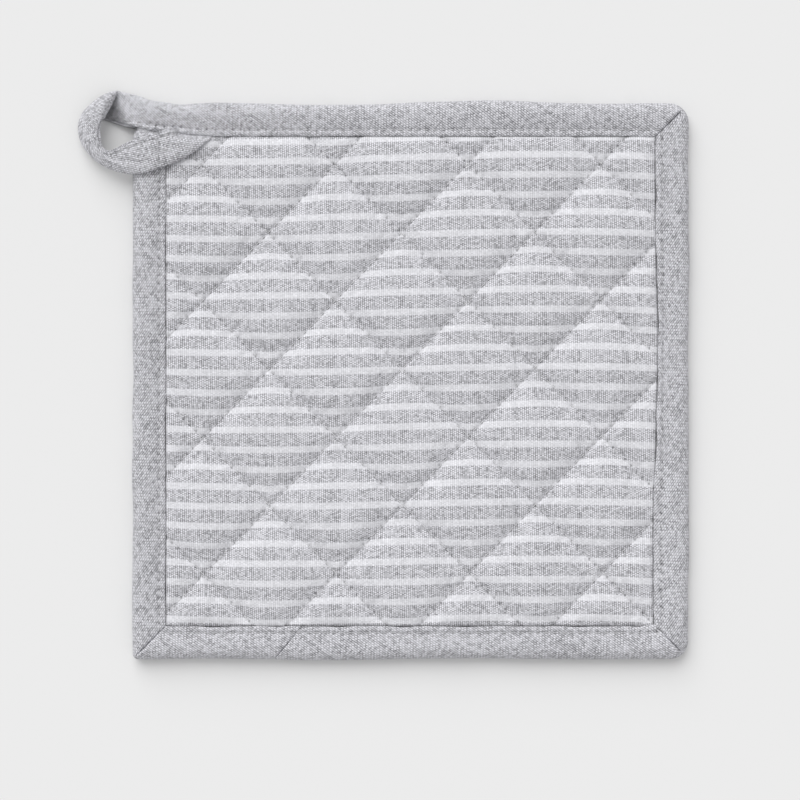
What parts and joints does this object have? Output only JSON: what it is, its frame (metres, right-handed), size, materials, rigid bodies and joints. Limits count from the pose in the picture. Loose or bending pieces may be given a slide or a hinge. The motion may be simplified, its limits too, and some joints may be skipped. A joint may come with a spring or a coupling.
{
  "type": "quilted pot holder",
  "caption": "Square quilted pot holder with a striped front, plain back, bias-tape binding with mitred corners and a hanging loop at one corner.",
  "frame": {"origin": "centre of the square pad, on the plane that it rests on", "axes": "+Z out of the striped front, +Y towards the edge that the hanging loop grows from, +X to the right, away from the loop"},
  "size_m": [0.2198, 0.2047, 0.0091],
  "materials": {
    "striped_cotton": "woven grey and white stripes, matt",
    "plain_cotton": "plain grey weave, matt",
    "bias_tape": "grey and white weave cut on the bias, matt",
    "wadding": "lofty cotton wadding",
    "quilting_thread": "spun sewing thread",
    "edge_thread": "spun sewing thread"
  },
  "bodies": {
    "pad": {"front_panel": "striped_cotton", "wadding": "wadding", "back_panel": "plain_cotton", "binding_strip_short": "bias_tape", "binding_strip_long": "bias_tape", "join_seam_thread": "edge_thread", "binding_needle_thread": "edge_thread", "binding_bobbin_thread": "edge_thread", "loop_tail": "bias_tape", "tail_needle_thread": "edge_thread", "tail_bobbin_thread": "edge_thread", "rising_needle_thread_1": "quilting_thread", "rising_needle_thread_2": "quilting_thread", "rising_needle_thread_3": "quilting_thread", "rising_needle_thread_4": "quilting_thread", "rising_needle_thread_5": "quilting_thread", "rising_needle_thread_6": "quilting_thread", "rising_needle_thread_7": "quilting_thread", "rising_bobbin_thread_1": "quilting_thread", "rising_bobbin_thread_2": "quilting_thread", "rising_bobbin_thread_3": "quilting_thread", "rising_bobbin_thread_4": "quilting_thread", "rising_bobbin_thread_5": "quilting_thread", "rising_bobbin_thread_6": "quilting_thread", "rising_bobbin_thread_7": "quilting_thread", "falling_needle_thread_1": "quilting_thread", "falling_needle_thread_2": "quilting_thread", "falling_needle_thread_3": "quilting_thread", "falling_needle_thread_4": "quilting_thread", "falling_needle_thread_5": "quilting_thread", "falling_needle_thread_6": "quilting_thread", "falling_needle_thread_7": "quilting_thread", "falling_bobbin_thread_1": "quilting_thread", "falling_bobbin_thread_2": "quilting_thread", "falling_bobbin_thread_3": "quilting_thread", "falling_bobbin_thread_4": "quilting_thread", "falling_bobbin_thread_5": "quilting_thread", "falling_bobbin_thread_6": "quilting_thread", "falling_bobbin_thread_7": "quilting_thread"},
    "loop": {"hanging_loop": "bias_tape", "loop_needle_thread": "edge_thread", "loop_bobbin_thread": "edge_thread"}
  },
  "joints": [
    {"name": "loop_flip", "type": "hinge", "parent": "pad", "child": "loop", "pos_m": [-0.1015, 0.0895, 0.0048], "axis": [0, 0.9781, -0.2079], "range_deg": [-90, 90], "stiffness_Nm_per_rad": 0.002}
  ]
}
